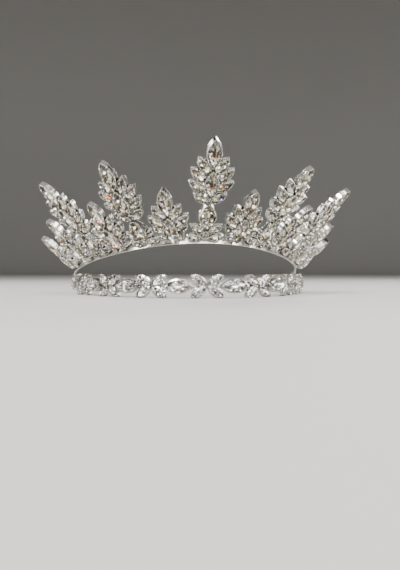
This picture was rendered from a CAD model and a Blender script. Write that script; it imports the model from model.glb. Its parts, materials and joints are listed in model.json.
import json
import math

import bmesh
import bpy
import numpy as np
from mathutils import Matrix, Vector


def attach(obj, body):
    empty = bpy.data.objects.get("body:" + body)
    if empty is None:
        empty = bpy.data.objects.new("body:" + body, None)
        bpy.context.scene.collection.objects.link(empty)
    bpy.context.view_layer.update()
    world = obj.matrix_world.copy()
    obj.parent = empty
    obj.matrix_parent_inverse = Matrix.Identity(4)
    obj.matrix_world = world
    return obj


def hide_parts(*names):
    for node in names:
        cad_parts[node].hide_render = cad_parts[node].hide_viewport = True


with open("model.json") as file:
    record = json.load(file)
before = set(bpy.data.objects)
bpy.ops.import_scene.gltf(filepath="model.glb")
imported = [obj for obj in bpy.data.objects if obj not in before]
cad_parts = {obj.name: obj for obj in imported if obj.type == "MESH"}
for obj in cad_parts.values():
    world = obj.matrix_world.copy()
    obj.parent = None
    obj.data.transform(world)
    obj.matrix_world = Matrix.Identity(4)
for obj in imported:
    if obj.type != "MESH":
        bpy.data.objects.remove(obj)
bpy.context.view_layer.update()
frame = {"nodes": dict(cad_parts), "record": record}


# The soldered frame: two bands rolled from flat brass wire, pierced spray plates and end plates,
# hard-soldered into one piece, polished and plated with silver. It keeps its CAD shape.
MM = 0.001
SILVER = "#D8D5CE"
TARNISH = "#3B362F"
# Mop hairlines are finer than this. They are drawn this coarse so that they show.
HAIRLINE = 0.35 * MM
HAIRLINE_DEPTH = 0.03 * MM
HAIRLINE_BUMP = 0.1
# Roughness on and between the hairlines, and the values of the noise that give the one and the
# other
POLISH = (0.1, 0.26)
POLISH_NOISE = (0.3, 0.7)
# Walls nearer than this keep the mop out of a corner. It never polishes a corner less open than
# the first share, and always one more open than the second. This much tarnish stays deep inside.
CREVICE = 1.3 * MM
MOP_REACHES = (0.25, 0.8)
CREVICE_TARNISH = 0.9
# Size of the patches where handling has left a thin film, and the most that it takes
FILM_PATCH = 9 * MM
FILM_TARNISH = 0.25
# Values of the noise from which the film starts, and at which it is full
FILM_NOISE = (0.5, 0.75)
EDGE_ROUND = 0.12 * MM
# The Mix node's two colour sockets and its colour result
MIX_A, MIX_B, MIX_RESULT = 6, 7, 2


def linear(hex_colour):
    """An sRGB hex colour as the linear RGBA that Blender's sockets take."""
    channels = [int(hex_colour[i:i + 2], 16) / 255 for i in (1, 3, 5)]
    return [c / 12.92 if c <= 0.04045 else ((c + 0.055) / 1.055) ** 2.4 for c in channels] + [1.0]


def add_node(tree, kind, settings=None, inputs=None):
    """Adds a node with its settings. Each input is a value, or a socket to link from."""
    node = tree.nodes.new(kind)
    for name, value in (settings or {}).items():
        setattr(node, name, value)
    for name, value in (inputs or {}).items():
        if isinstance(value, bpy.types.NodeSocket):
            tree.links.new(value, node.inputs[name])
        else:
            node.inputs[name].default_value = value
    return node


def silver_plate():
    """Bright silver plate: metallic, nearly a mirror, broken up by hairlines that the polishing
    mop leaves, with rounded edges and a warm grey film in the corners that the mop can't reach."""
    material = bpy.data.materials.new("silver_plate_polished")
    material.use_nodes = True
    tree = material.node_tree
    shader = tree.nodes["Principled BSDF"]
    place = add_node(tree, "ShaderNodeTexCoord").outputs["Object"]
    grain = add_node(tree, "ShaderNodeTexNoise", inputs={
        "Vector": place, "Scale": 1 / HAIRLINE, "Detail": 3.0, "Roughness": 0.6})
    patch = add_node(tree, "ShaderNodeTexNoise", inputs={
        "Vector": place, "Scale": 1 / FILM_PATCH, "Detail": 4.0})
    corner = add_node(tree, "ShaderNodeAmbientOcclusion", {"samples": 4}, {"Distance": CREVICE})
    missed = add_node(tree, "ShaderNodeMapRange", inputs={
        "Value": corner.outputs["AO"], "From Min": MOP_REACHES[0], "From Max": MOP_REACHES[1],
        "To Min": CREVICE_TARNISH, "To Max": 0.0})
    film = add_node(tree, "ShaderNodeMapRange", inputs={
        "Value": patch.outputs["Fac"], "From Min": FILM_NOISE[0], "From Max": FILM_NOISE[1],
        "To Min": 0.0, "To Max": FILM_TARNISH})
    dull = add_node(tree, "ShaderNodeMath", {"operation": "MAXIMUM"}, {
        0: missed.outputs["Result"], 1: film.outputs["Result"]})
    colour = add_node(tree, "ShaderNodeMix", {"data_type": "RGBA"}, {
        0: dull.outputs[0], MIX_A: linear(SILVER), MIX_B: linear(TARNISH)})
    rough = add_node(tree, "ShaderNodeMapRange", inputs={
        "Value": grain.outputs["Fac"], "From Min": POLISH_NOISE[0], "From Max": POLISH_NOISE[1],
        "To Min": POLISH[0], "To Max": POLISH[1]})
    edge = add_node(tree, "ShaderNodeBevel", {"samples": 4}, {"Radius": EDGE_ROUND})
    bump = add_node(tree, "ShaderNodeBump", inputs={
        "Height": grain.outputs["Fac"], "Strength": HAIRLINE_BUMP, "Distance": HAIRLINE_DEPTH,
        "Normal": edge.outputs["Normal"]})
    shader.inputs["Metallic"].default_value = 1.0
    tree.links.new(colour.outputs[MIX_RESULT], shader.inputs["Base Color"])
    tree.links.new(rough.outputs["Result"], shader.inputs["Roughness"])
    tree.links.new(bump.outputs["Normal"], shader.inputs["Normal"])
    return material


silver = silver_plate()
metal = frame["nodes"]["frame"].data.materials
for number in range(len(metal)):
    metal[number] = silver


# The cups: each stone sits in a cup stamped from thin plated brass, whose wall is cut into small
# teeth that are burnished in over the stone's girdle. The cup is soldered flat on its seat.

# Wall of the cups, and how far their teeth are folded in over the stone
SPRAY_CUP = (0.2 * MM, 0.2 * MM)
BAND_CUP = (0.31 * MM, 0.42 * MM)
# Air between a stone's girdle and its cup, and between its culet and the seat under it
CUP_AIR = 0.03 * MM
SEAT_AIR = 0.12 * MM
# Height at which the notches between the teeth end, as a share of the girdle's height
CUP_SHOULDER = 0.55
TOOTH_PITCH = 0.95 * MM
TOOTH_RISE = 0.08 * MM
TOOTH_THICK = 0.1 * MM
POINTS_A_TOOTH = 4
FEWEST_TEETH = 4
NOTCH_IN = 0.08 * MM
NOTCH_DEPTH = 0.6 * MM
NOTCH_LIP = 0.05 * MM
# Slope of the stones' crown facets beside the girdle
CROWN_SLOPE = 0.8
# The way round a stone is about GIRTH times hypot(length, GIRTH_WIDTH * width)
GIRTH = 2.2
GIRTH_WIDTH = 0.8
# Radius of a drop's small end, as a share of its width
DROP_TOP = 0.27
# A stone's outline starts at the end that lies further this way. No stone lies square to it.
FIRST_END = (0.3, 0.1, 1)
# Points closer than this are one, and heights closer than this are on one level
WELD = 0.001 * MM
LEVEL = 0.02 * MM
# Decimals to which facets are sorted by direction, and stones by place
FACING_DIGITS = 3
PLACE_DIGITS = 5


def loose_solids(node):
    """Points of each separate solid in a CAD node, with the outward normal of its table."""
    solid = bmesh.new()
    solid.from_mesh(frame["nodes"][node].data)
    bmesh.ops.remove_doubles(solid, verts=solid.verts, dist=WELD)
    solid.verts.index_update()
    solid.faces.index_update()
    unseen = set(solid.verts)
    found = []
    while unseen:
        island, edge = set(), [unseen.pop()]
        while edge:
            vert = edge.pop()
            island.add(vert)
            near = {other.other_vert(vert) for other in vert.link_edges} & unseen
            unseen -= near
            edge.extend(near)
        faces = {face for vert in island for face in vert.link_faces}
        # A set has no order of its own, so points and faces are taken by number, the same each run
        areas = {}
        for face in sorted(faces, key=lambda face: face.index):
            key = tuple(round(c, FACING_DIGITS) for c in face.normal)
            area, normal = areas.get(key, (0, face.normal.copy()))
            areas[key] = (area + face.calc_area(), normal)
        table = max(areas.values(), key=lambda pair: pair[0])[1]
        in_order = sorted(island, key=lambda vert: vert.index)
        found.append((np.array([vert.co for vert in in_order]), np.array(table)))
    solid.free()
    return sorted(found, key=lambda pair: tuple(pair[0].mean(0).round(PLACE_DIGITS)))


def stones_of(node):
    """Place and sizes of each stone in a CAD node, read from its girdle and its levels."""
    stones = []
    for points, out in loose_solids(node):
        height = points @ out
        culet, top = height.min(), height.max()
        between = height[(height > culet + LEVEL) & (height < top - LEVEL)]
        low, high = between.min(), between.max()
        girdle = points[abs(height - high) < LEVEL]
        middle = girdle.mean(0)
        flat = girdle - middle
        # The girdle's longest direction could point either way, so FIRST_END says which
        along = np.linalg.svd(flat - np.outer(flat @ out, out))[2][0]
        along = along * np.sign(along @ FIRST_END)
        across = np.cross(along, out)
        reach = flat @ along
        is_drop = node.startswith("drop")
        # A drop's small end is always its +Y end
        if is_drop:
            wide = abs(flat @ across)
            if wide[reach > 0].mean() > wide[reach < 0].mean():
                along, across, reach = -along, -across, -reach
        middle = middle + along * (reach.max() + reach.min()) / 2
        base = middle - out * (high - culet)
        place = Matrix([list(row) + [shift] for row, shift in zip(
            np.column_stack([across, along, out]).tolist(), base.tolist())] + [[0, 0, 0, 1]])
        # Heights above the culet: the girdle's low and high edge, and the table on top
        stones.append({
            "place": place, "drop": is_drop,
            "length": float(np.ptp(flat @ along)), "width": float(np.ptp(flat @ across)),
            "low": float(low - culet), "high": float(high - culet), "top": float(top - culet)})
    return stones


def navette_outline(length, width, grow, count):
    """Points of a navette, from its tip round, on two arcs that are moved out by grow."""
    radius = (length ** 2 + width ** 2) / (4 * width)
    off = radius - width / 2
    half = math.acos(off / (radius + grow))
    side = [half * (1 - 4 * i / count) for i in range(count // 2)]
    right = [((radius + grow) * math.cos(a) - off, (radius + grow) * math.sin(a)) for a in side]
    return right + [(-x, -y) for x, y in right]


def drop_outline(length, width, grow, count):
    """Points of a drop at even steps round it, from the middle of its small round end along a
    straight flank to the large end, and back along the other flank."""
    big, small = width / 2, DROP_TOP * width
    low, high = big - length / 2, length / 2 - small
    lean = math.asin((big - small) / (high - low))
    arc_small, arc_big = math.pi / 2 - lean, math.pi / 2 + lean
    flank = (high - low) * math.cos(lean)
    # Half the small end, a flank, the large end, the other flank and the small end's other half
    runs = [arc_small * small, flank, 2 * arc_big * big, flank, arc_small * small]
    points = []
    for i in range(count):
        s = sum(runs) * i / count
        run = 0
        while s > runs[run]:
            s -= runs[run]
            run += 1
        share = s / runs[run]
        if run in (0, 4):
            a = math.pi / 2 - arc_small * share if run == 0 else math.pi - lean - arc_small * share
            points.append(((small + grow) * math.cos(a), high + (small + grow) * math.sin(a)))
        elif run == 2:
            a = lean - 2 * arc_big * share
            points.append(((big + grow) * math.cos(a), low + (big + grow) * math.sin(a)))
        else:
            a = lean if run == 1 else math.pi - lean
            to_big = share if run == 1 else 1 - share
            radius = small + (big - small) * to_big + grow
            y = high + (low - high) * to_big
            points.append((radius * math.cos(a), y + radius * math.sin(a)))
    return points


def outline_of(stone, grow, count):
    """Points of a stone's outline, moved out by grow."""
    draw = drop_outline if stone["drop"] else navette_outline
    return draw(stone["length"], stone["width"], grow, count)


def tooth_points(stone):
    """Points round a cup, with as many teeth on each side of the stone."""
    girth = GIRTH * math.hypot(stone["length"], stone["width"] * GIRTH_WIDTH)
    teeth = 2 * round(girth / TOOTH_PITCH / 2)
    return POINTS_A_TOOTH * max(FEWEST_TEETH, teeth)


def ring_mesh(bm, place, rings, closed=True):
    """Joins rings of equal length with faces, each to the next and, if closed, last to first."""
    rows = [[bm.verts.new(place @ Vector(point)) for point in ring] for ring in rings]
    count = len(rows[0])
    for j in range(len(rows) if closed else len(rows) - 1):
        upper, lower = rows[j], rows[(j + 1) % len(rows)]
        for i in range(count):
            m = (i + 1) % count
            bm.faces.new([upper[i], upper[m], lower[m], lower[i]])
    return rows


def add_cup(bm, stone, foot, cup):
    """A wall round a stone, from foot below its culet up over its girdle, with V-shaped notches.
    The blunt teeth between them are folded in over the crown facets."""
    wall, fold = cup
    count = tooth_points(stone)
    high = stone["high"]
    over = high + CROWN_SLOPE * fold
    notch = max(high - NOTCH_DEPTH, high * CUP_SHOULDER)
    outer = outline_of(stone, CUP_AIR + wall, count)
    notched = outline_of(stone, CUP_AIR + wall - NOTCH_IN, count)
    inner = outline_of(stone, CUP_AIR, count)
    folded = outline_of(stone, -fold, count)
    # From the foot up the outside to the teeth, over them, and down the inside
    rings = [[], [], [], [], [], []]
    for i in range(count):
        rings[0].append((*outer[i], -foot))
        rings[1].append((*outer[i], high * CUP_SHOULDER - NOTCH_LIP))
        if i % POINTS_A_TOOTH == POINTS_A_TOOTH // 2:
            rings[2].append((*notched[i], notch))
            rings[3].append((*inner[i], notch))
            rings[4].append((*inner[i], notch - NOTCH_LIP))
        else:
            rings[2].append((*outer[i], high + TOOTH_RISE))
            rings[3].append((*folded[i], over + TOOTH_THICK))
            rings[4].append((*folded[i], over))
        rings[5].append((*inner[i], -foot))
    ring_mesh(bm, stone["place"], rings)


def mesh_piece(name, bm, materials):
    """Makes one object of a mesh, with its materials, and fixes it to the crown's one body."""
    bmesh.ops.recalc_face_normals(bm, faces=bm.faces)
    mesh = bpy.data.meshes.new(name)
    bm.to_mesh(mesh)
    bm.free()
    for material in materials:
        mesh.materials.append(material)
    piece = bpy.data.objects.new(name, mesh)
    bpy.context.scene.collection.objects.link(piece)
    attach(piece, "root")
    return piece


STONE_NODES = sorted(name for name in frame["nodes"] if name != "frame")
stones = {node: stones_of(node) for node in STONE_NODES}


def cup_of(node):
    """The forehead band's cups are thicker, with longer teeth."""
    return BAND_CUP if node.startswith(("band", "cross")) else SPRAY_CUP


for node in STONE_NODES:
    cups = bmesh.new()
    for stone in stones[node]:
        add_cup(cups, stone, SEAT_AIR, cup_of(node))
    mesh_piece("cups_" + node, cups, [silver])


# The cut stones: machine-cut lead crystal with a silver foil on the pavilion, so that light that
# enters the crown comes back out. Each is set in its cup, above its own place on the seat.
CRYSTAL = "#FEFDFA"
CRYSTAL_IOR = 1.58
FOIL_ROUGH = 0.05
# Two facets whose normals differ by more than this reflect in tones of their own
FOIL_STEP = 0.01
# Tones of the foil under the facets, dark to bright and then the coloured flashes, each from the
# share of all facets at which it starts
SPRAY_TONES = [
    (0.0, "#1C1915"), (0.12, "#625A48"), (0.21, "#A2997F"), (0.31, "#D4CCB0"), (0.43, "#F3EDDA"),
    (0.55, "#FFFDF5"),
    (0.96, "#8F86F0"), (0.972, "#EFE86A"), (0.982, "#EE93B0"), (0.992, "#C67C48"),
]
BAND_TONES = [
    (0.0, "#3A3834"), (0.06, "#9A9892"), (0.13, "#DAD8D2"), (0.22, "#FFFFFF"),
    (0.985, "#EBC3A4"),
]
# The table's share of the outline, and the share of the outline and of the crown's height at the
# points where kites and star facets meet
TABLE = 0.5
STAR_OUT = 0.78
STAR_UP = 0.58
# Rows of points below the girdle, each from high and low points in turn: the share of the outline
# and the share of the pavilion's height
BREAK_ROW = [(0.84, 0.76), (0.76, 0.46)]
KITE_ROW = [(0.60, 0.52), (0.54, 0.16)]
INNER_ROW = [(0.36, 0.42), (0.28, 0.10)]
# Length of the keel, as a share of the stone's
KEEL = 0.3
# Lengths from which a stone is large or medium, and the points round each size
LARGE_STONE = 11 * MM
MEDIUM_STONE = 5.2 * MM
LARGE_POINTS = 24
MEDIUM_POINTS = 16
SMALL_POINTS = 12
# The two materials of a stone, in its mesh
CLEAR, FOILED = 0, 1


def lead_crystal():
    """Clear lead crystal, cut and polished: colourless and fully smooth, and it bends light
    more than window glass, so that the foil behind it breaks up into small bright fields."""
    material = bpy.data.materials.new("lead_crystal_cut")
    material.use_nodes = True
    shader = material.node_tree.nodes["Principled BSDF"]
    shader.inputs["Base Color"].default_value = linear(CRYSTAL)
    shader.inputs["Roughness"].default_value = 0.0
    shader.inputs["IOR"].default_value = CRYSTAL_IOR
    shader.inputs["Transmission Weight"].default_value = 1.0
    return material


def foil_back(name, tones):
    """Silver foil under lacquer on the pavilion: a mirror whose facets differ in tone, and a few of
    them flash with colour, as the crystal splits the light."""
    material = bpy.data.materials.new(name)
    material.use_nodes = True
    tree = material.node_tree
    shader = tree.nodes["Principled BSDF"]
    normal = add_node(tree, "ShaderNodeNewGeometry").outputs["True Normal"]
    facing = add_node(tree, "ShaderNodeVectorMath", {"operation": "SNAP"}, {
        0: normal, 1: (FOIL_STEP,) * 3})
    toss = add_node(tree, "ShaderNodeTexWhiteNoise", inputs={"Vector": facing.outputs[0]})
    tone = add_node(tree, "ShaderNodeValToRGB", inputs={"Fac": toss.outputs["Value"]})
    ramp = tone.color_ramp
    ramp.interpolation = "CONSTANT"
    while len(ramp.elements) < len(tones):
        ramp.elements.new(ramp.elements[-1].position)
    for element, (start, colour) in zip(ramp.elements, tones):
        element.position = start
        element.color = linear(colour)
    shader.inputs["Metallic"].default_value = 1.0
    shader.inputs["Roughness"].default_value = FOIL_ROUGH
    tree.links.new(tone.outputs["Color"], shader.inputs["Base Color"])
    return material


crystal = lead_crystal()
spray_foil = foil_back("silver_foil_warm", SPRAY_TONES)
band_foil = foil_back("silver_foil_white", BAND_TONES)


def facet(bm, corners, material=CLEAR):
    """One flat face of a stone, on bare crystal or on the foil."""
    bm.faces.new(corners).material_index = material


def points_round(stone):
    """How many points a stone's girdle has: a larger stone is cut with more facets."""
    if stone["length"] > LARGE_STONE:
        return LARGE_POINTS
    return MEDIUM_POINTS if stone["length"] > MEDIUM_STONE else SMALL_POINTS


def add_stone(bm, stone):
    """A brilliant-cut stone: table, star, kite and break facets above, and below them rows of
    break facets and kites that close on the keel."""
    count = points_round(stone)
    half = count // 2
    edge = outline_of(stone, 0, count)
    low, high, top = stone["low"], stone["high"], stone["top"]

    def point(number, scale, z):
        """The outline's point of that number, drawn in by a scale, at height z."""
        x, y = edge[number % count]
        return bm.verts.new(stone["place"] @ Vector((x * scale, y * scale, z)))

    def row_below(row, first):
        """Points at every second place of the outline, below the girdle, high and low in turn."""
        found = []
        for i in range(half):
            scale, share = row[i % 2]
            found.append(point(2 * i + first, scale, low * share))
        return found

    table = [point(2 * i, TABLE, top) for i in range(half)]
    stars = [point(2 * i + 1, STAR_OUT, high + (top - high) * STAR_UP) for i in range(half)]
    upper = [point(i, 1, high) for i in range(count)]
    lower = [point(i, 1, low) for i in range(count)]
    breaks = row_below(BREAK_ROW, 1)
    kites = row_below(KITE_ROW, 0)
    inner = row_below(INNER_ROW, 1)
    keel = [bm.verts.new(stone["place"] @ Vector((0, side * stone["length"] / 2 * KEEL, 0)))
            for side in (1, -1)]
    ends = [keel[0] if edge[2 * i + 1][1] > 0 else keel[1] for i in range(half)]

    facet(bm, table)
    for i in range(half):
        after = (i + 1) % half
        g0, g1, g2 = 2 * i, 2 * i + 1, (2 * i + 2) % count
        facet(bm, [table[i], stars[i], table[after]])
        facet(bm, [table[i], upper[g0], stars[i]])
        facet(bm, [table[after], stars[i], upper[g2]])
        facet(bm, [stars[i], upper[g0], upper[g1]])
        facet(bm, [stars[i], upper[g1], upper[g2]])
        facet(bm, [breaks[i], lower[g1], lower[g0]], FOILED)
        facet(bm, [breaks[i], lower[g2], lower[g1]], FOILED)
        facet(bm, [kites[i], breaks[i], lower[g0]], FOILED)
        facet(bm, [kites[after], lower[g2], breaks[i]], FOILED)
        facet(bm, [kites[i], kites[after], breaks[i]], FOILED)
        facet(bm, [inner[i], kites[after], kites[i]], FOILED)
        facet(bm, [inner[i], inner[after], kites[after]], FOILED)
        facet(bm, [ends[i], inner[after], inner[i]], FOILED)
        if ends[i] is not ends[after]:
            facet(bm, [ends[i], ends[after], inner[after]], FOILED)
    for i in range(count):
        m = (i + 1) % count
        facet(bm, [upper[i], lower[i], lower[m], upper[m]])


for node in STONE_NODES:
    cut = bmesh.new()
    for stone in stones[node]:
        add_stone(cut, stone)
    foil = band_foil if node.startswith(("band", "cross")) else spray_foil
    piece = mesh_piece("cut_" + node, cut, [crystal, foil])
    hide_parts(node)


# The small round stones: chatons, about 1 to 2 mm across with their cups, which are soldered into
# the gaps between the navettes of a leaf, so that hardly any metal or daylight shows there.

# Radius of the largest and the smallest, cup and all, and the air between two of them
CHATON_LARGE = 0.95 * MM
CHATON_SMALL = 0.42 * MM
CHATON_APART = 0.1 * MM
# A chaton fits where it touches two cups on opposite sides to within this, and a third is near
CHATON_TOUCH = 0.16 * MM
CHATON_CORNER = 0.4 * MM
# Cosine between the ways to the two cups, below which they lie on opposite sides
OPPOSITE = -0.35
# Steps in which a leaf is searched, and points round each cup's outline
SEARCH_STEP = 0.28 * MM
OUTLINE_POINTS = 48
# Keeps a division by nothing out, where a spot lies on an outline
TINY = 1e-12
# Height of a chaton above the leaf's plane, and of its girdle and table, as shares of its radius
CHATON_LIFT = 0.35 * MM
CUT_LOW, CUT_HIGH, CUT_TOP = 0.3, 0.36, 0.55


def leaf_plane(side):
    """The plane of a spray: across it, up the leaf and outwards, from the tip stone's middle."""
    tip = stones["tip_stone_" + side][0]["place"]
    heart = stones["heart_stone_" + side][0]["place"]
    up = (tip.translation - heart.translation).dot(tip.col[1].to_3d())
    return tip if up > 0 else tip @ Matrix.Rotation(math.pi, 4, "Z")


def edges_on(plane, stone):
    """Outline of a stone's cup in a spray's plane, as points that lie close together."""
    to_plane = plane.inverted() @ stone["place"]
    outline = outline_of(stone, CUP_AIR + SPRAY_CUP[0], OUTLINE_POINTS)
    points = [to_plane @ Vector((x, y, 0)) for x, y in outline]
    return np.array([(point.x, point.y) for point in points])


def inside_of(outline, grid):
    """Which grid points lie inside a convex outline that runs clockwise or the other way."""
    ahead = np.roll(outline, -1, 0) - outline
    offset = grid[:, None] - outline[None]
    turn = ahead[None, :, 0] * offset[..., 1] - ahead[None, :, 1] * offset[..., 0]
    return (turn > 0).all(1) | (turn < 0).all(1)


def spots_of(outlines):
    """Looks at a grid of spots over a spray. Returns the spots, the room that each has for a round
    stone, and whether it lies between cups that would hold the stone."""
    every = np.concatenate(outlines)
    axes = [np.arange(low, high, SEARCH_STEP) for low, high in zip(every.min(0), every.max(0))]
    grid = np.stack(np.meshgrid(*axes), -1).reshape(-1, 2)
    away = np.full((len(outlines), len(grid)), np.inf)
    toward = np.zeros((len(outlines), len(grid), 2))
    for number, outline in enumerate(outlines):
        offset = outline[None] - grid[:, None]
        reach = np.hypot(offset[..., 0], offset[..., 1])
        away[number] = np.where(inside_of(outline, grid), -1, reach.min(1))
        toward[number] = offset[np.arange(len(grid)), reach.argmin(1)]
    first, second, third = away.argsort(0)[:3]
    spot = np.arange(len(grid))
    room = away[first, spot]
    one, other = toward[first, spot], toward[second, spot]
    lengths = np.hypot(*one.T) * np.hypot(*other.T)
    facing = (one * other).sum(1) / np.maximum(lengths, TINY)
    held = (away[second, spot] - room < CHATON_TOUCH) & (facing < OPPOSITE)
    held &= away[third, spot] - room < CHATON_CORNER
    return grid, room, held


def chatons_of(side):
    """Round stones that fit where three cups of a spray come close, largest first."""
    plane = leaf_plane(side)
    group = [node for node in STONE_NODES
             if node.endswith("_" + side) and not node.startswith(("band", "cross"))]
    outlines = [edges_on(plane, stone) for node in group for stone in stones[node]]
    grid, room, held = spots_of(outlines)
    fits = held & (room > CHATON_SMALL) & (room < CHATON_LARGE)
    found = []
    while fits.any():
        best = np.where(fits, room, 0).argmax()
        radius = room[best]
        across = 2 * (radius - SPRAY_CUP[0])
        found.append({
            "place": plane @ Matrix.Translation((*grid[best], CHATON_LIFT)), "drop": False,
            "length": across, "width": across, "low": radius * CUT_LOW,
            "high": radius * CUT_HIGH + CUP_AIR, "top": radius * CUT_TOP})
        clear = np.hypot(*(grid - grid[best]).T) - radius - CHATON_APART
        fits &= clear > room
    return found


TIP = "tip_stone_"
for side in sorted(node.removeprefix(TIP) for node in STONE_NODES if node.startswith(TIP)):
    chatons = chatons_of(side)
    if not chatons:
        continue
    cups, cut = bmesh.new(), bmesh.new()
    for stone in chatons:
        add_cup(cups, stone, CHATON_LIFT + SEAT_AIR, SPRAY_CUP)
        add_stone(cut, stone)
    mesh_piece("chaton_cups_" + side, cups, [silver])
    mesh_piece("chatons_" + side, cut, [crystal, spray_foil])


# The claws: four drawn-wire prongs to a stone, soldered outside its cup. The setter bends them
# over the girdle and rounds their ends, so they show as small bright beads on the crown facets.
CLAW_R = 0.19 * MM
CLAW_SIDES = 6
# Places round a stone at which a claw can stand, and how far from each tip of the stone it does,
# as a share of the way round
CLAW_PLACES = 64
CLAW_AT = 0.1
# How deep the foot is soldered into the cup's wall, its thickness there, and how high the claw is
# above the girdle, all in wire radii
CLAW_SUNK = 0.5
CLAW_FOOT = 0.9
CLAW_OVER = 1.1
# Share of the girdle's height up to which the claw stands straight
CLAW_STRAIGHT = 0.9
# The end on the crown facets: share of the outline, then height above the facet and radius of the
# claw, both in wire radii
CLAW_END = [(0.88, 0.7, 0.95), (0.8, 0.3, 0.6)]


def add_claw(bm, stone, share, wall):
    """One prong, from beside the cup's foot up and over the edge, at a share of the outline."""
    number = round(share * CLAW_PLACES) % CLAW_PLACES
    foot_outline = outline_of(stone, CUP_AIR + wall - CLAW_R * CLAW_SUNK, CLAW_PLACES)
    foot = Vector(foot_outline[number])
    edge = Vector(outline_of(stone, 0, CLAW_PLACES)[number])
    high, rise = stone["high"], stone["top"] - stone["high"]
    path = [
        (Vector((foot.x, foot.y, -SEAT_AIR)), CLAW_R * CLAW_FOOT),
        (Vector((foot.x, foot.y, high * CLAW_STRAIGHT)), CLAW_R),
        (Vector((edge.x, edge.y, high + CLAW_R * CLAW_OVER)), CLAW_R),
    ]
    for scale, lift, thick in CLAW_END:
        z = high + rise * min(1, (1 - scale) / (1 - TABLE)) + CLAW_R * lift
        path.append((Vector((edge.x * scale, edge.y * scale, z)), CLAW_R * thick))
    inward = Vector((-edge.x, -edge.y, 0)).normalized()
    side = Vector((-inward.y, inward.x, 0))
    rings = []
    for step, (point, radius) in enumerate(path):
        before, after = path[max(step - 1, 0)][0], path[min(step + 1, len(path) - 1)][0]
        ahead = (after - before).normalized()
        up = side.cross(ahead).normalized()
        turns = [2 * math.pi * k / CLAW_SIDES for k in range(CLAW_SIDES)]
        rings.append([point + radius * (math.cos(a) * side + math.sin(a) * up) for a in turns])
    ends = ring_mesh(bm, stone["place"], rings, closed=False)
    bm.faces.new(ends[0])
    bm.faces.new(list(reversed(ends[-1])))


for node in STONE_NODES:
    claws = bmesh.new()
    for stone in stones[node]:
        for share in (CLAW_AT, 0.5 - CLAW_AT, 0.5 + CLAW_AT, 1 - CLAW_AT):
            add_claw(claws, stone, share, cup_of(node)[0])
    mesh_piece("claws_" + node, claws, [silver])


# The studio: a round pale floor that curves up into a wall far behind, so that the light falls off
# to grey there, and softboxes all round the crown.
PAPER = "#B0AEA9"
PAPER_ROUGH = 0.8
# The floor in metres: its middle sheet, where the cove starts, the cove's radius and the wall
FLAT_R = 1.6
FLOOR_R = 2.2
COVE_R = 0.9
WALL_TOP = 2.6
FLOOR_SIDES = 96
COVE_STEPS = 12
# The dim room behind the softboxes
ROOM = "#8C8B8A"
ROOM_LIGHT = 0.18
# Height of the crown's middle, at which the softboxes are aimed
AIM = 40 * MM
# The softboxes: name, bearing in degrees with 0 straight in front, height, distance and size in
# metres, power in watts, spread in degrees
SOFTBOXES = [
    ("softbox_key", -38, 0.95, 1.0, (0.3, 0.3), 6, 90),
    ("softbox_top", 12, 1.1, 0.8, (0.5, 0.3), 2, 90),
    ("softbox_ceiling", 0, 1.6, 0.1, (2.2, 2.2), 7, 180),
    ("softbox_fill", 50, 0.6, 1.1, (0.25, 0.5), 1.5, 90),
    ("softbox_front", 4, 0.6, 1.5, (1.6, 1.1), 28, 180),
    ("strip_front_left", -22, 0.25, 1.1, (0.1, 0.45), 6, 180),
    ("strip_front_right", 27, 0.3, 1.1, (0.1, 0.45), 4, 180),
    ("strip_left", -75, 0.3, 1.0, (0.12, 0.5), 5, 180),
    ("strip_right", 80, 0.3, 1.0, (0.12, 0.5), 4, 180),
    ("back_left", -140, 0.7, 1.1, (0.3, 0.4), 1, 60),
    ("back_right", 145, 0.6, 1.1, (0.3, 0.4), 1, 60),
]


def seamless_paper():
    """Seamless backdrop paper, uncoated: matte, pale and even, with a soft glow and no shine."""
    material = bpy.data.materials.new("seamless_paper")
    material.use_nodes = True
    shader = material.node_tree.nodes["Principled BSDF"]
    shader.inputs["Base Color"].default_value = linear(PAPER)
    shader.inputs["Roughness"].default_value = PAPER_ROUGH
    return material


cove_turns = [math.pi / 2 * k / COVE_STEPS for k in range(COVE_STEPS + 1)]
profile = [(FLAT_R, 0)]
profile += [(FLOOR_R + COVE_R * math.sin(a), COVE_R - COVE_R * math.cos(a)) for a in cove_turns]
profile.append((FLOOR_R + COVE_R, WALL_TOP))
floor_turns = [2 * math.pi * k / FLOOR_SIDES for k in range(FLOOR_SIDES)]
sweep = bmesh.new()
floor_rings = ring_mesh(sweep, Matrix(), [
    [(r * math.cos(a), r * math.sin(a), z) for a in floor_turns] for r, z in profile], closed=False)
sweep.faces.new(floor_rings[0])
bmesh.ops.recalc_face_normals(sweep, faces=sweep.faces)
floor_mesh = bpy.data.meshes.new("paper_floor")
sweep.to_mesh(floor_mesh)
sweep.free()
floor_mesh.materials.append(seamless_paper())
floor_mesh.shade_smooth()
floor = bpy.data.objects.new("paper_floor", floor_mesh)
bpy.context.scene.collection.objects.link(floor)

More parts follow.
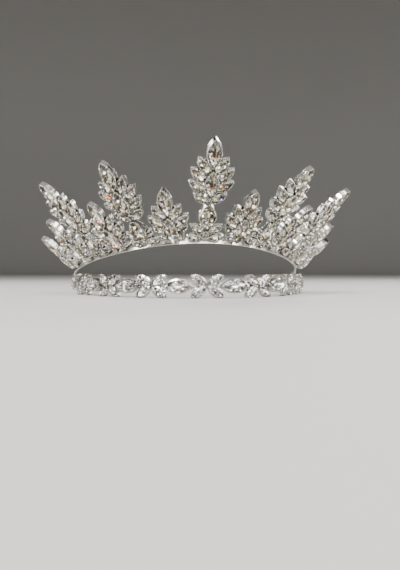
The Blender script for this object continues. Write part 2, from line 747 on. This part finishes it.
world = bpy.data.worlds.new("studio_room")
world.use_nodes = True
room_light = world.node_tree.nodes["Background"]
room_light.inputs["Color"].default_value = linear(ROOM)
room_light.inputs["Strength"].default_value = ROOM_LIGHT
bpy.context.scene.world = world

for name, bearing, height, away, size, power, spread in SOFTBOXES:
    lamp = bpy.data.lights.new(name, "AREA")
    lamp.shape = "RECTANGLE"
    lamp.size, lamp.size_y = size
    lamp.energy = power
    lamp.spread = math.radians(spread)
    light = bpy.data.objects.new(name, lamp)
    turn = math.radians(bearing)
    light.location = (away * math.sin(turn), -away * math.cos(turn), height)
    ahead = Vector((0, 0, AIM)) - light.location
    light.rotation_euler = ahead.to_track_quat("-Z", "Y").to_euler()
    light.visible_camera = False
    bpy.context.scene.collection.objects.link(light)


# The camera, at the photograph's bearing and distance from the crown. The photograph was taken
# from further below than the floor allows, so this camera stands just above the floor.
YAW = math.radians(6.5)
DISTANCE = 0.4
EYE_HEIGHT = 14 * MM
# Focal length and height of the picture, in the photograph's pixels
F_PIXELS = 576
PHOTO_HEIGHT = 570
# How far the camera looks right of the crown's middle and below the horizon, as small angles from
# the photograph's pixels
AIM_RIGHT = 16 / F_PIXELS
AIM_DOWN = 14 / F_PIXELS
SENSOR = 36.0
NEAR = 10 * MM

mounts = frame["record"]["mounts"]
seat = next(mount for mount in mounts if mount["name"] == "head_seat")["pos_m"]
lens = bpy.data.cameras.new("camera")
lens.sensor_fit = "VERTICAL"
lens.sensor_height = SENSOR
lens.lens = F_PIXELS * SENSOR / PHOTO_HEIGHT
lens.clip_start = NEAR
camera = bpy.data.objects.new("camera", lens)
back, left = DISTANCE * math.cos(YAW), DISTANCE * math.sin(YAW)
camera.location = (seat[0] - left, seat[1] - back, EYE_HEIGHT)
ahead = Vector((math.sin(YAW + AIM_RIGHT), math.cos(YAW + AIM_RIGHT), -AIM_DOWN))
camera.rotation_euler = ahead.to_track_quat("-Z", "Y").to_euler()
bpy.context.scene.collection.objects.link(camera)
bpy.context.scene.camera = camera
